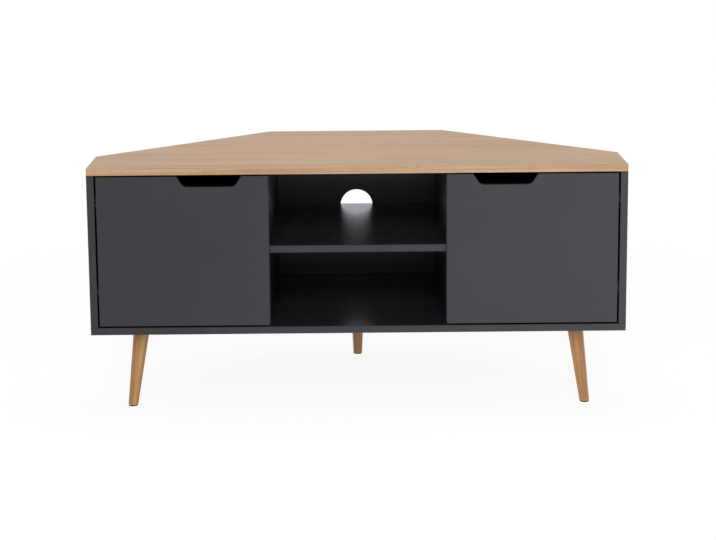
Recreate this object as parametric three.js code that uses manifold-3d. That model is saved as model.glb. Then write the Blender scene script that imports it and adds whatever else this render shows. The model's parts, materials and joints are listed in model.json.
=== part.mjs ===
// Low six-sided cabinet that stands in a room corner: two cupboards with inset doors on concealed
// hinges, an open bay with one shelf between them, and three splayed round legs.
// Millimetres. +Z up, the doors face -Y, the narrow rear edge faces +Y, the floor is at zero.

import * as THREE from 'three';
import { mergeVertices } from 'three/addons/utils/BufferGeometryUtils.js';
import Module from 'manifold-3d';

const wasm = await Module();
wasm.setup();

// Body
const width = 1100;
const rearWidth = 392;
const sideDepth = 160;
const bodyHeight = 347;
const floorToBody = 173;
const board = 15;
const backInset = 2;
const shelfSetback = 19;

// Doors
const doorThickness = 15;
const doorTopGap = 3;
const doorBottomGap = 3.5;
const doorSideGap = 4;
const doorBayInset = 1;
const cutTopWidth = 132;
const cutBottomWidth = 104;
const cutDepth = 21.7;
const cutCornerRadius = 13;
const cutOffset = 55;
const bumperRadius = 4;
const bumperThickness = 2.2;
const bumperFromEnd = 20;

// Cable hole
const cableHoleRadius = 36.5;
const cableHoleBelowShelfTop = 4;

// Legs
const legTilt = THREE.MathUtils.degToRad(7.7);
const legTopRadius = 16.8;
const legFootRadius = 10;
const legRim = 1;
const legSideOffset = 96.5;
const frontLegDepth = 82;
const rearLegFromRear = 41;
const padRadius = 9.8;
const padThickness = 3;
const legPlateSide = 56;
const legPlateCorner = 7;
const legPlateThickness = 2.5;
const legBossRadius = 14;
const legBossReach = 7;
const hangerRadius = 4;
const hangerReach = 28;
const hangerStart = 1;
const legScrewPitch = 42;

// Panel fasteners
const camRadius = 7.5;
const camDepth = 12;
const camFromEdge = 24;
const camBoltRadius = 3;
const camBoltBite = 11;
const camSlotDepth = 1.8;
const shelfPinRadius = 2.5;
const shelfPinBite = 8;
const shelfPinFromEnd = 60;
const shelfPinLug = 6;
const shelfPinHeight = 10;

// Screws
const screwHead = 3.6;
const screwHeadHeight = 1.7;
const screwShank = 1.7;
const screwTip = 3;
const screwLength = 11;
const clampScrewLength = 5.6;
const crossWidth = 0.8;
const crossDepth = 0.9;
const headTopShare = 0.72;
const crossLengthShare = 0.62;

// Concealed hinge, measured from the side panel's inner face and from the front plane
const hingeFromDoorEnd = 62;
const cupMargin = 3;
const cupRadius = 17.5;
const cupDepth = 12.2;
const cupSheet = 0.6;
const flangeRadius = 19.2;
const flangeSheet = 1;
const flangeScrewOffset = 9.5;
const flangeScrewHalfPitch = 24;
const flangeWing = 5.6;
const outerArmPin = [21.8, 20.58];
const innerArmPin = [21.07, 16.14];
const outerCupPin = [29.2, 6.28];
const innerCupPin = [33.78, 6.4];
const pinRadius = 1.25;
const openPinRadius = 1.1;
const openBoreRadius = 1.55;
const linkHalfWidth = 2.4;
const linkInner = 0.3;
const linkOuter = 5.2;
const pinStart = 1;
const armHalfWidth = 7;
const armSheet = 1.3;
const armBand = 1.8;
const lugRadius = 2.6;
const cheekStart = 7.4;
const cheekSheet = 1.3;
const cheekHeight = 8;
const cheekLean = 2.4;
const cheekFront = 24.2;
const cheekRear = 38.4;
const plateSheet = 2;
const railHeight = 7;
const railHalfWidth = 5.4;
const railStart = 43;
const railEnd = 88;
const wingWidth = 17;
const wingReach = 22;
const wingCorner = 5;
const plateScrewDepth = 52;
const plateScrewHalfPitch = 16;
const clampScrewDepth = 68;
const armEnd = 92;
const armNeck = [[27.5, 17], [33.6, 18.7], [37.2, 22.6], [37.4, 28.2], [33.8, 33.2], [26, 37.2], [15, 40.6], [9.4, 45.5]];

// Fits
const fitGap = 0.3;
const runningGap = 0.07;
const through = 1;
const weld = 1e-4;

// Facets round a circle
const legFacets = 24;
const cupFacets = 24;
const holeFacets = 44;
const camFacets = 10;
const pinFacets = 10;
const boltFacets = 8;
const cornerSteps = 4;

// Places that follow from the sizes above
const depth = sideDepth + (width - rearWidth) / 2;
const halfWidth = width / 2;
const innerHalf = halfWidth - board;
const rearHalf = rearWidth / 2;
const bayHalf = rearHalf - board;
const frontY = -depth / 2;
const rearY = depth / 2;
const bodyBase = floorToBody;
const floorTop = bodyBase + board;
const overall = bodyBase + bodyHeight;
const ceiling = overall - board;
const panelRear = rearY - backInset;
const panelFront = panelRear - board;
const dividerSetback = doorThickness + bumperThickness + fitGap;
const shelfBase = (floorTop + ceiling - board) / 2;
const shelfTop = shelfBase + board;
const doorBase = floorTop + doorBottomGap;
const doorTop = ceiling - doorTopGap;
const doorOuter = innerHalf - doorSideGap;
const doorInner = bayHalf + doorBayInset;
const doorMid = (doorOuter + doorInner) / 2;
const cutMid = doorMid - cutOffset;
const cupCentre = doorSideGap + cupMargin + cupRadius;
const hingeLevels = { lower: doorBase + hingeFromDoorEnd, upper: doorTop - hingeFromDoorEnd };
const sides = { left: -1, right: 1 };

// Solids

function solidFrom(geometry) {
  const plain = geometry.clone();
  plain.deleteAttribute('normal');
  plain.deleteAttribute('uv');
  const merged = mergeVertices(plain, weld);
  const vertProperties = new Float32Array(merged.attributes.position.array);
  const triVerts = new Uint32Array(merged.index.array);
  return new wasm.Manifold(new wasm.Mesh({ numProp: 3, vertProperties, triVerts }));
}

function geometryFrom(solid) {
  const mesh = solid.getMesh();
  const geometry = new THREE.BufferGeometry();
  geometry.setAttribute('position', new THREE.BufferAttribute(mesh.vertProperties, 3));
  geometry.setIndex(new THREE.BufferAttribute(mesh.triVerts, 1));
  return geometry;
}

function fused(pieces) {
  return geometryFrom(pieces.map(solidFrom).reduce((whole, piece) => whole.add(piece)));
}

function carved(body, tools) {
  return geometryFrom(tools.map(solidFrom).reduce((left, tool) => left.subtract(tool), solidFrom(body)));
}

function common(first, second) {
  return geometryFrom(solidFrom(first).intersect(solidFrom(second)));
}

function block(low, high) {
  const size = high.map((value, index) => value - low[index]);
  const centre = high.map((value, index) => (value + low[index]) / 2);
  return new THREE.BoxGeometry(...size).translate(...centre);
}

function rod(start, end, radius, facets, endRadius = radius) {
  const from = new THREE.Vector3(...start);
  const along = new THREE.Vector3(...end).sub(from);
  const geometry = new THREE.CylinderGeometry(endRadius, radius, along.length(), facets);
  geometry.translate(0, along.length() / 2, 0);
  const turn = new THREE.Quaternion().setFromUnitVectors(new THREE.Vector3(0, 1, 0), along.normalize());
  return geometry.applyQuaternion(turn).translate(...start);
}

function prism(outline, height) {
  const shape = new THREE.Shape(outline.map(([x, y]) => new THREE.Vector2(x, y)));
  return new THREE.ExtrudeGeometry(shape, { depth: height, bevelEnabled: false, steps: 1 });
}

// A plan outline given height between two levels
function slab(outline, low, high) {
  return prism(outline, high - low).translate(0, 0, low);
}

// An outline in X and Z given thickness from its front face towards the rear
function frontPlate(outline, front, thickness) {
  const basis = new THREE.Matrix4().makeBasis(
    new THREE.Vector3(1, 0, 0),
    new THREE.Vector3(0, 0, 1),
    new THREE.Vector3(0, -1, 0),
  );
  return prism(outline, thickness).applyMatrix4(basis).translate(0, front + thickness, 0);
}

// An outline in Y and Z given thickness between two X places
function sidePlate(outline, first, second) {
  const basis = new THREE.Matrix4().makeBasis(
    new THREE.Vector3(0, 1, 0),
    new THREE.Vector3(0, 0, 1),
    new THREE.Vector3(1, 0, 0),
  );
  const low = Math.min(first, second);
  return prism(outline, Math.abs(second - first)).applyMatrix4(basis).translate(low, 0, 0);
}

// Outlines

function rectangle(x0, x1, y0, y1) {
  return [[x0, y0], [x1, y0], [x1, y1], [x0, y1]];
}

// Replaces each corner that has a radius by an arc
function rounded(outline, radii) {
  return outline.flatMap((corner, index) => {
    const radius = radii[index];
    if (!radius) return [corner];
    const here = new THREE.Vector2(...corner);
    const before = new THREE.Vector2(...outline.at(index - 1)).sub(here).normalize();
    const after = new THREE.Vector2(...outline[(index + 1) % outline.length]).sub(here).normalize();
    const half = Math.acos(before.dot(after)) / 2;
    const centre = before.clone().add(after).normalize().multiplyScalar(radius / Math.sin(half)).add(here);
    const start = before.multiplyScalar(radius / Math.tan(half)).add(here).sub(centre).angle();
    const end = after.multiplyScalar(radius / Math.tan(half)).add(here).sub(centre).angle();
    const turn = Math.atan2(Math.sin(end - start), Math.cos(end - start));
    return Array.from({ length: cornerSteps + 1 }, (_, step) => {
      const angle = start + (turn * step) / cornerSteps;
      return [centre.x + radius * Math.cos(angle), centre.y + radius * Math.sin(angle)];
    });
  });
}

// A bar with round ends between two points
function capsule([x0, y0], [x1, y1], radius) {
  const heading = Math.atan2(y1 - y0, x1 - x0);
  const arc = (x, y, first) => Array.from({ length: cornerSteps + 1 }, (_, step) => {
    const angle = first + (Math.PI * step) / cornerSteps;
    return [x + radius * Math.cos(angle), y + radius * Math.sin(angle)];
  });
  return [...arc(x0, y0, heading + Math.PI / 2), ...arc(x1, y1, heading - Math.PI / 2)];
}

// A strip of sheet that follows a bent centre line
function strip(line, sheet) {
  const edge = (sign) => line.map(([x, y], index) => {
    const before = line[Math.max(index - 1, 0)];
    const after = line[Math.min(index + 1, line.length - 1)];
    const unit = (from, to) => new THREE.Vector2(to[0] - from[0], to[1] - from[1]).normalize();
    const incoming = index ? unit(before, [x, y]) : unit([x, y], after);
    const outgoing = index < line.length - 1 ? unit([x, y], after) : incoming;
    const normal = new THREE.Vector2(-(incoming.y + outgoing.y), incoming.x + outgoing.x).normalize();
    const reach = (sign * sheet) / 2 / normal.dot(new THREE.Vector2(-incoming.y, incoming.x));
    return [x + normal.x * reach, y + normal.y * reach];
  });
  return [...edge(1), ...edge(-1).reverse()];
}

// Materials

const looks = {
  oak_top: { color: '#c8a98a', roughness: 0.55, metalness: 0 },
  dark_lacquer: { color: '#454549', roughness: 0.35, metalness: 0 },
  oak_leg: { color: '#b5824f', roughness: 0.5, metalness: 0 },
  dark_pad: { color: '#3a2a20', roughness: 0.8, metalness: 0 },
  nickel: { color: '#b9bbbd', roughness: 0.3, metalness: 1 },
  zinc: { color: '#9a9c9e', roughness: 0.45, metalness: 1 },
  clear_pad: { color: '#c9c9c6', roughness: 0.5, metalness: 0 },
};

function piece(name, geometry, look) {
  const mesh = new THREE.Mesh(geometry, new THREE.MeshStandardMaterial(looks[look]));
  mesh.name = name;
  return mesh;
}

const mitreShift = board * Math.tan(Math.PI / 8);
const diagonalCorner = sideDepth - backInset * (Math.SQRT2 - 1);
const sideRearInner = diagonalCorner - mitreShift;
const diagonalSum = halfWidth + diagonalCorner;
const sideCentre = halfWidth - board / 2;
const dividerCentre = bayHalf + board / 2;
const dividerFront = frontY + dividerSetback;

// Where the cam locks stand: the centre of each side panel and divider, at both of its ends

const camPlaces = Object.entries(sides).flatMap(([name, side]) => [
  { name: `${name}_side`, x: side * sideCentre, y: frontY + sideRearInner / 2, face: -side },
  { name: `${name}_divider`, x: side * dividerCentre, y: (dividerFront + panelRear) / 2, face: side },
]);

// Both ends of each upright, as the level of the joint and the way into the upright
const joints = { lower: { level: floorTop, way: 1 }, upper: { level: ceiling, way: -1 } };

function camBolt({ x, y }, { level, way }, gap) {
  return rod(
    [x, y, level - way * (camBoltBite + gap)],
    [x, y, level + way * camFromEdge],
    camBoltRadius + gap,
    boltFacets,
  );
}

function camBody({ x, y, face }, { level, way }, gap) {
  const height = level + way * camFromEdge;
  const surface = x + (face * board) / 2;
  return rod(
    [surface - face * (camDepth + gap), y, height],
    [surface + (gap ? face * through : 0), y, height],
    camRadius + gap,
    camFacets,
  );
}

function camSlots({ x, y, face }, { level, way }) {
  const height = level + way * camFromEdge;
  const surface = x + (face * board) / 2;
  const reach = camRadius * crossLengthShare;
  const cuts = [[reach, crossWidth], [crossWidth, reach]];
  return cuts.map(([across, rise]) => block(
    [Math.min(surface - face * camSlotDepth, surface + face * through), y - across, height - rise],
    [Math.max(surface - face * camSlotDepth, surface + face * through), y + across, height + rise],
  ));
}

function camLock(place, joint) {
  return carved(fused([camBody(place, joint, 0), camBolt(place, joint, 0)]), camSlots(place, joint));
}

const camCuts = camPlaces.flatMap((place) => Object.values(joints).flatMap((joint) => [
  camBody(place, joint, fitGap),
  camBolt(place, joint, fitGap),
]));

const up = [0, 0, 1];

// Screws: the head sits below zero and the shank runs up +Z

function screw(length = screwLength) {
  const profile = [
    [0, -screwHeadHeight],
    [screwHead * headTopShare, -screwHeadHeight],
    [screwHead, 0],
    [screwShank, 0],
    [screwShank, length - screwTip],
    [0, length],
  ].map(([x, y]) => new THREE.Vector2(x, y));
  const body = new THREE.LatheGeometry(profile, boltFacets).rotateX(Math.PI / 2);
  const reach = screwHead * crossLengthShare;
  const arms = [[reach, crossWidth / 2], [crossWidth / 2, reach]];
  const cuts = arms.map(([x, y]) => block(
    [-x, -y, -screwHeadHeight - through],
    [x, y, crossDepth - screwHeadHeight],
  ));
  return carved(body, cuts);
}

// Turns a screw so that its shank points along the given way, with the head's seat at the place
function drivenScrew(place, way, length) {
  const turn = new THREE.Quaternion().setFromUnitVectors(new THREE.Vector3(0, 0, 1), new THREE.Vector3(...way));
  return screw(length).applyQuaternion(turn).translate(...place);
}

function screwHole(place, way, depthIn, radius = screwShank + fitGap) {
  const [start, end] = [-through, depthIn].map((reach) => place.map((value, index) => value + way[index] * reach));
  return rod(start, end, radius, boltFacets);
}

// Body panels

function hexagon() {
  const outer = frontY + sideDepth;
  return [
    [-halfWidth, frontY], [halfWidth, frontY], [halfWidth, outer],
    [rearHalf, rearY], [-rearHalf, rearY], [-halfWidth, outer],
  ];
}

function sideOutline(side) {
  return [
    [side * innerHalf, frontY],
    [side * halfWidth, frontY],
    [side * halfWidth, frontY + diagonalCorner],
    [side * innerHalf, frontY + sideRearInner],
  ];
}

function diagonalOutline(side) {
  const outer = frontY + diagonalSum;
  const inner = outer - board * Math.SQRT2;
  return [
    [side * innerHalf, inner - innerHalf],
    [side * halfWidth, outer - halfWidth],
    [side * rearHalf, outer - rearHalf],
    [side * rearHalf, inner - rearHalf],
  ];
}

function legPlaces() {
  return [
    { name: 'front_left', x: -(halfWidth - legSideOffset), y: frontY + frontLegDepth, heading: Math.PI },
    { name: 'front_right', x: halfWidth - legSideOffset, y: frontY + frontLegDepth, heading: 0 },
    { name: 'rear', x: 0, y: rearY - rearLegFromRear, heading: Math.PI / 2 },
  ];
}

function legScrewPlaces() {
  const corners = [[-1, -1], [1, -1], [1, 1], [-1, 1]];
  return legPlaces().flatMap(({ x, y }) => corners.map(([right, back]) => [
    x + (right * legScrewPitch) / 2,
    y + (back * legScrewPitch) / 2,
    bodyBase - legPlateThickness,
  ]));
}

const topPanel = carved(slab(hexagon(), ceiling, overall), camCuts);
const bottomPanel = carved(slab(hexagon(), bodyBase, floorTop), [
  ...camCuts,
  ...legScrewPlaces().map((place) => screwHole(place, up, screwLength + fitGap)),
]);

// Hinge places on each side
function hingePoint(side, [along, back]) {
  return [side * (innerHalf - along), frontY + back];
}

function plateScrewPlaces(side) {
  return Object.values(hingeLevels).flatMap((level) => [-1, 1].map((sign) => [
    side * (innerHalf - plateSheet),
    frontY + plateScrewDepth,
    level + sign * plateScrewHalfPitch,
  ]));
}

function cupScrewPlaces(side) {
  const [x] = hingePoint(side, [cupCentre + flangeScrewOffset, 0]);
  return Object.values(hingeLevels).flatMap((level) => [-1, 1].map((sign) => [
    x,
    frontY + doorThickness + flangeSheet,
    level + sign * flangeScrewHalfPitch,
  ]));
}

function sidePanel(side) {
  return carved(slab(sideOutline(side), floorTop, ceiling), [
    ...camCuts,
    ...plateScrewPlaces(side).map((place) => screwHole(place, [side, 0, 0], screwLength + fitGap)),
  ]);
}

function shelfPinPlaces() {
  const rows = { front: frontY + shelfSetback + shelfPinFromEnd, rear: panelFront - shelfPinFromEnd };
  return Object.entries(sides).flatMap(([sideName, side]) => (
    Object.entries(rows).map(([row, y]) => ({ name: `${sideName}_${row}_shelf_pin`, side, y }))
  ));
}

function shelfPin({ side, y }) {
  const lug = block(
    [Math.min(side * bayHalf, side * (bayHalf - shelfPinLug)), y - shelfPinLug / 2, shelfBase - shelfPinHeight],
    [Math.max(side * bayHalf, side * (bayHalf - shelfPinLug)), y + shelfPinLug / 2, shelfBase],
  );
  const height = shelfBase - shelfPinHeight / 2;
  const peg = rod(
    [side * (bayHalf - shelfPinLug / 2), y, height],
    [side * (bayHalf + shelfPinBite), y, height],
    shelfPinRadius,
    boltFacets,
  );
  return fused([lug, peg]);
}

function shelfPinHole({ side, y }) {
  const height = shelfBase - shelfPinHeight / 2;
  return rod(
    [side * (bayHalf - through), y, height],
    [side * (bayHalf + shelfPinBite + fitGap), y, height],
    shelfPinRadius + fitGap,
    boltFacets,
  );
}

function divider(side) {
  const outline = rectangle(side * bayHalf, side * rearHalf, dividerFront, panelRear);
  return carved(slab(outline, floorTop, ceiling), [...camCuts, ...shelfPinPlaces().map(shelfPinHole)]);
}

const shelf = block([-bayHalf, frontY + shelfSetback, shelfBase], [bayHalf, panelFront, shelfTop]);

const cableHole = rod(
  [0, panelFront - through, shelfTop - cableHoleBelowShelfTop],
  [0, panelRear + through, shelfTop - cableHoleBelowShelfTop],
  cableHoleRadius,
  holeFacets,
);
const centreBack = carved(block([-bayHalf, panelFront, floorTop], [bayHalf, panelRear, ceiling]), [cableHole]);

const carcass = new THREE.Group();
carcass.name = 'carcass';
carcass.add(
  piece('top_panel', topPanel, 'oak_top'),
  piece('bottom_panel', bottomPanel, 'dark_lacquer'),
  piece('centre_shelf', shelf, 'dark_lacquer'),
  piece('centre_back_panel', centreBack, 'dark_lacquer'),
  ...shelfPinPlaces().map((place) => piece(place.name, shelfPin(place), 'nickel')),
  ...camPlaces.flatMap((place) => Object.entries(joints).map(([end, joint]) => (
    piece(`${place.name}_${end}_cam_lock`, camLock(place, joint), 'zinc')
  ))),
);
for (const [name, side] of Object.entries(sides)) {
  carcass.add(
    piece(`${name}_side_panel`, sidePanel(side), 'dark_lacquer'),
    piece(`${name}_divider`, divider(side), 'dark_lacquer'),
    piece(`${name}_back_panel`, slab(diagonalOutline(side), floorTop, ceiling), 'dark_lacquer'),
  );
}

// Doors

function doorOutline(side) {
  const corners = [
    [doorInner, doorBase],
    [doorOuter, doorBase],
    [doorOuter, doorTop],
    [cutMid + cutTopWidth / 2, doorTop],
    [cutMid + cutBottomWidth / 2, doorTop - cutDepth],
    [cutMid - cutBottomWidth / 2, doorTop - cutDepth],
    [cutMid - cutTopWidth / 2, doorTop],
    [doorInner, doorTop],
  ];
  const radii = corners.map((_, index) => (index === 4 || index === 5 ? cutCornerRadius : 0));
  return rounded(corners, radii).map(([x, z]) => [side * x, z]);
}

function cupPocket(side, level) {
  const [x] = hingePoint(side, [cupCentre, 0]);
  return rod(
    [x, frontY + doorThickness - cupDepth, level],
    [x, frontY + doorThickness + through, level],
    cupRadius,
    cupFacets,
  );
}

function door(side) {
  return carved(frontPlate(doorOutline(side), frontY, doorThickness), [
    ...Object.values(hingeLevels).map((level) => cupPocket(side, level)),
    ...cupScrewPlaces(side).map((place) => screwHole(place, [0, -1, 0], screwLength + fitGap)),
  ]);
}

function bumper(side, height) {
  const x = side * (bayHalf + board / 2);
  const back = frontY + doorThickness;
  return rod([x, back, height], [x, back + bumperThickness, height], bumperRadius, camFacets);
}

// Concealed hinge. Two links side by side cross between the arm's nose and the cup. Heights are
// measured from the hinge's own middle.

function linkBar(side, armPin, cupPin, low, high, cupBore) {
  const [armX, armY] = hingePoint(side, armPin);
  const [cupX, cupY] = hingePoint(side, cupPin);
  const bar = slab(capsule([armX, armY], [cupX, cupY], linkHalfWidth), low, high);
  return carved(bar, [
    rod([armX, armY, low - through], [armX, armY, high + through], pinRadius + runningGap, pinFacets),
    rod([cupX, cupY, low - through], [cupX, cupY, high + through], cupBore, pinFacets),
  ]);
}

function outerLink(side) {
  return linkBar(side, outerArmPin, outerCupPin, linkInner, linkOuter, pinRadius + runningGap);
}

function innerLink(side) {
  return linkBar(side, innerArmPin, innerCupPin, -linkOuter, -linkInner, openBoreRadius);
}

function hingeCup(side) {
  const [x] = hingePoint(side, [cupCentre, 0]);
  const back = frontY + doorThickness;
  const floor = back - cupDepth + fitGap;
  const screwX = x - side * flangeScrewOffset;
  const shell = rod([x, floor, 0], [x, back + flangeSheet, 0], cupRadius - fitGap, cupFacets);
  const ring = rod([x, back, 0], [x, back + flangeSheet, 0], flangeRadius, cupFacets);
  const wing = frontPlate(
    capsule([screwX, -flangeScrewHalfPitch], [screwX, flangeScrewHalfPitch], flangeWing),
    back,
    flangeSheet,
  );
  const hollow = rod(
    [x, floor + cupSheet, 0],
    [x, back + flangeSheet + through, 0],
    cupRadius - fitGap - cupSheet,
    cupFacets,
  );
  const notchStart = side * innerHalf;
  const notchEnd = x + side * cupMargin;
  const notch = block(
    [Math.min(notchStart, notchEnd), back, -cheekStart],
    [Math.max(notchStart, notchEnd), back + flangeSheet + through, cheekStart],
  );
  const screws = [-1, 1].map((sign) => drivenScrew(
    [screwX, back + flangeSheet, sign * flangeScrewHalfPitch],
    [0, -1, 0],
  ));
  const cheekBase = back - cupDepth + fitGap - frontY + cupSheet / 2;
  const cheekOutline = [
    [cheekFront, cheekBase],
    [cheekRear, cheekBase],
    [cheekRear, cheekBase + cheekHeight - cheekLean],
    [cheekRear - cheekLean, cheekBase + cheekHeight],
    [cheekFront + cheekLean, cheekBase + cheekHeight],
    [cheekFront, cheekBase + cheekHeight - cheekLean],
  ].map((point) => hingePoint(side, point));
  const cheekEnd = cheekStart + cheekSheet;
  const [outerX, outerY] = hingePoint(side, outerCupPin);
  const [innerX, innerY] = hingePoint(side, innerCupPin);
  return fused([
    carved(fused([shell, ring, wing]), [hollow, notch]),
    ...screws,
    slab(cheekOutline, cheekStart, cheekEnd),
    slab(cheekOutline, -cheekEnd, -cheekStart),
    rod([outerX, outerY, pinStart], [outerX, outerY, cheekEnd], pinRadius, pinFacets),
    rod([innerX, innerY, -cheekEnd], [innerX, innerY, -pinStart], openPinRadius, pinFacets),
  ]);
}

function hingeArm(side) {
  const seat = railHeight + armBand / 2;
  const line = [...armNeck, [seat, railStart + wingWidth / 2], [seat, armEnd]];
  const band = strip(line.map((point) => hingePoint(side, point)), armBand);
  const lugWeb = capsule(hingePoint(side, innerArmPin), hingePoint(side, armNeck[0]), armBand);
  const lugEye = capsule(hingePoint(side, innerArmPin), hingePoint(side, outerArmPin), lugRadius);
  const wallOutline = [
    [plateSheet + fitGap, railStart + wingWidth],
    [plateSheet + fitGap, armEnd],
    [seat, armEnd],
    [seat, railStart + wingWidth / 2],
  ].map((point) => hingePoint(side, point));
  const wallStart = armHalfWidth - armSheet;
  const layers = [[wallStart, armHalfWidth], [-armHalfWidth, -wallStart]];
  const [outerX, outerY] = hingePoint(side, outerArmPin);
  const [innerX, innerY] = hingePoint(side, innerArmPin);
  const [screwX, screwY] = hingePoint(side, [railHeight + armBand, clampScrewDepth]);
  return fused([
    slab(band, -armHalfWidth, armHalfWidth),
    ...layers.flatMap(([low, high]) => [lugWeb, lugEye, wallOutline].map((outline) => slab(outline, low, high))),
    rod([outerX, outerY, pinStart], [outerX, outerY, armHalfWidth], pinRadius, pinFacets),
    rod([innerX, innerY, -armHalfWidth], [innerX, innerY, -pinStart], pinRadius, pinFacets),
    drivenScrew([screwX, screwY, 0], [side, 0, 0], clampScrewLength),
  ]);
}

function hingePlate(side) {
  const face = side * innerHalf;
  const wing = rounded(
    rectangle(
      frontY + plateScrewDepth - wingWidth / 2,
      frontY + plateScrewDepth + wingWidth / 2,
      -wingReach,
      wingReach,
    ),
    [wingCorner, wingCorner, wingCorner, wingCorner],
  );
  const base = rectangle(frontY + railStart, frontY + railEnd, -armHalfWidth, armHalfWidth);
  const rail = rectangle(frontY + railStart, frontY + railEnd, -railHalfWidth, railHalfWidth);
  const [holeX, holeY] = hingePoint(side, [railHeight, clampScrewDepth]);
  return carved(
    fused([
      sidePlate(wing, face, face - side * plateSheet),
      sidePlate(base, face, face - side * plateSheet),
      sidePlate(rail, face, face - side * railHeight),
      ...[-1, 1].map((sign) => drivenScrew(
        [face - side * plateSheet, frontY + plateScrewDepth, sign * plateScrewHalfPitch],
        [side, 0, 0],
      )),
    ]),
    [screwHole([holeX, holeY, 0], [side, 0, 0], clampScrewLength)],
  );
}

function hinge(side, sideName, levelName) {
  const group = new THREE.Group();
  group.name = `${sideName}_${levelName}_hinge`;
  group.position.z = hingeLevels[levelName];
  group.add(
    piece(`${sideName}_${levelName}_hinge_cup`, hingeCup(side), 'nickel'),
    piece(`${sideName}_${levelName}_hinge_outer_link`, outerLink(side), 'nickel'),
    piece(`${sideName}_${levelName}_hinge_inner_link`, innerLink(side), 'nickel'),
    piece(`${sideName}_${levelName}_hinge_arm`, hingeArm(side), 'nickel'),
    piece(`${sideName}_${levelName}_hinge_plate`, hingePlate(side), 'nickel'),
  );
  return group;
}

const doors = new THREE.Group();
doors.name = 'doors';
for (const [name, side] of Object.entries(sides)) {
  doors.add(
    piece(`${name}_door`, door(side), 'dark_lacquer'),
    piece(`${name}_door_lower_bumper`, bumper(side, doorBase + bumperFromEnd), 'clear_pad'),
    piece(`${name}_door_upper_bumper`, bumper(side, doorTop - bumperFromEnd), 'clear_pad'),
    ...Object.keys(hingeLevels).map((levelName) => hinge(side, name, levelName)),
  );
}
// Legs. Each is drawn leaning towards +X below the body and then turned to its own heading.

const legAxis = [Math.sin(legTilt), 0, -Math.cos(legTilt)];

function onAxis(distance) {
  return legAxis.map((value) => value * distance);
}

function legPlate() {
  const half = legPlateSide / 2;
  const outline = rounded(rectangle(-half, half, -half, half), Array(4).fill(legPlateCorner));
  const boss = common(
    rod(onAxis(-legBossReach), onAxis(legBossReach), legBossRadius, legFacets),
    block([-half, -half, -floorToBody], [half, half, 0]),
  );
  const corners = [[-1, -1], [1, -1], [1, 1], [-1, 1]];
  const screws = corners.map(([right, back]) => drivenScrew(
    [(right * legScrewPitch) / 2, (back * legScrewPitch) / 2, -legPlateThickness],
    up,
  ));
  return carved(fused([slab(outline, -legPlateThickness, 0), boss, ...screws]), [
    rod(onAxis(-legBossReach), onAxis(legBossReach + through), hangerRadius + fitGap, boltFacets),
  ]);
}

function hangerBolt() {
  return rod(onAxis(hangerStart), onAxis(legBossReach + hangerReach), hangerRadius, boltFacets);
}

function legBody() {
  const length = floorToBody / Math.cos(legTilt) + legFootRadius * Math.tan(legTilt);
  const taper = (legTopRadius - legFootRadius) / (length - legBossReach);
  const shoulder = legBossReach + legRim;
  const solid = fused([
    rod(onAxis(legBossReach), onAxis(shoulder), legTopRadius - legRim, legFacets, legTopRadius - taper * legRim),
    rod(onAxis(shoulder), onAxis(length), legTopRadius - taper * legRim, legFacets, legFootRadius),
  ]);
  const above = block(
    [-floorToBody, -floorToBody, padThickness - floorToBody],
    [floorToBody, floorToBody, 0],
  );
  return carved(common(solid, above), [
    rod(onAxis(0), onAxis(legBossReach + hangerReach + fitGap), hangerRadius + fitGap, boltFacets),
  ]);
}

function footPad() {
  const reach = (floorToBody - padThickness / 2) * Math.tan(legTilt);
  return rod([reach, 0, -floorToBody], [reach, 0, padThickness - floorToBody], padRadius, legFacets);
}

const legs = new THREE.Group();
legs.name = 'legs';
for (const { name, x, y, heading } of legPlaces()) {
  const group = new THREE.Group();
  group.name = `${name}_leg_set`;
  group.position.set(x, y, bodyBase);
  group.rotation.z = heading;
  group.add(
    piece(`${name}_leg`, legBody(), 'oak_leg'),
    piece(`${name}_leg_plate`, legPlate(), 'zinc'),
    piece(`${name}_hanger_bolt`, hangerBolt(), 'zinc'),
    piece(`${name}_foot_pad`, footPad(), 'dark_pad'),
  );
  legs.add(group);
}

const cabinet = new THREE.Group();
cabinet.name = 'corner_tv_cabinet';
cabinet.add(carcass, doors, legs);

export default cabinet;
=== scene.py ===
# Corner TV cabinet: pale oak top board, dark satin body with two inset doors on concealed hinges,
# an open bay with one shelf and a round cable hole, and three splayed turned legs. Metres.

import json
import math

import bpy
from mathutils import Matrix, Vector

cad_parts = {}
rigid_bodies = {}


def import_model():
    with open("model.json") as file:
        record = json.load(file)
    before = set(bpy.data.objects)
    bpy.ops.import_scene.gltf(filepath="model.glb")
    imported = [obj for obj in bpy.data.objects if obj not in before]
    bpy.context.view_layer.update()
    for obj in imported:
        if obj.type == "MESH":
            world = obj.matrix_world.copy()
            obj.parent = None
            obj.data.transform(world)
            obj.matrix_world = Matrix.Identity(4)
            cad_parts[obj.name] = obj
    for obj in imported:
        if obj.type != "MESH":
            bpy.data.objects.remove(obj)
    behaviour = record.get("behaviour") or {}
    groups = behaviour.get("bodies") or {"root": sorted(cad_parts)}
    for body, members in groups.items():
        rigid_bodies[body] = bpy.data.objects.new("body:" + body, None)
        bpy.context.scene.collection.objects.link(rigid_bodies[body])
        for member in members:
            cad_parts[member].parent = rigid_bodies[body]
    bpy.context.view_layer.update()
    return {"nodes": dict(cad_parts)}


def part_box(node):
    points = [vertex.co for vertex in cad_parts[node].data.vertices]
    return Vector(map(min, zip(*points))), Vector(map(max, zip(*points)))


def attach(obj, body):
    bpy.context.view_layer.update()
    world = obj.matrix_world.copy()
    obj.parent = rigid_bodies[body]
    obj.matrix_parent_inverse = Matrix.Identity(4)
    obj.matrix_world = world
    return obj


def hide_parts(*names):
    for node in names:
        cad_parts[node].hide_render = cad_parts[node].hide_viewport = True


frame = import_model()

MM = 0.001
SIDES = {"left": -1, "right": 1}
LEVELS = ("lower", "upper")

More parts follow.
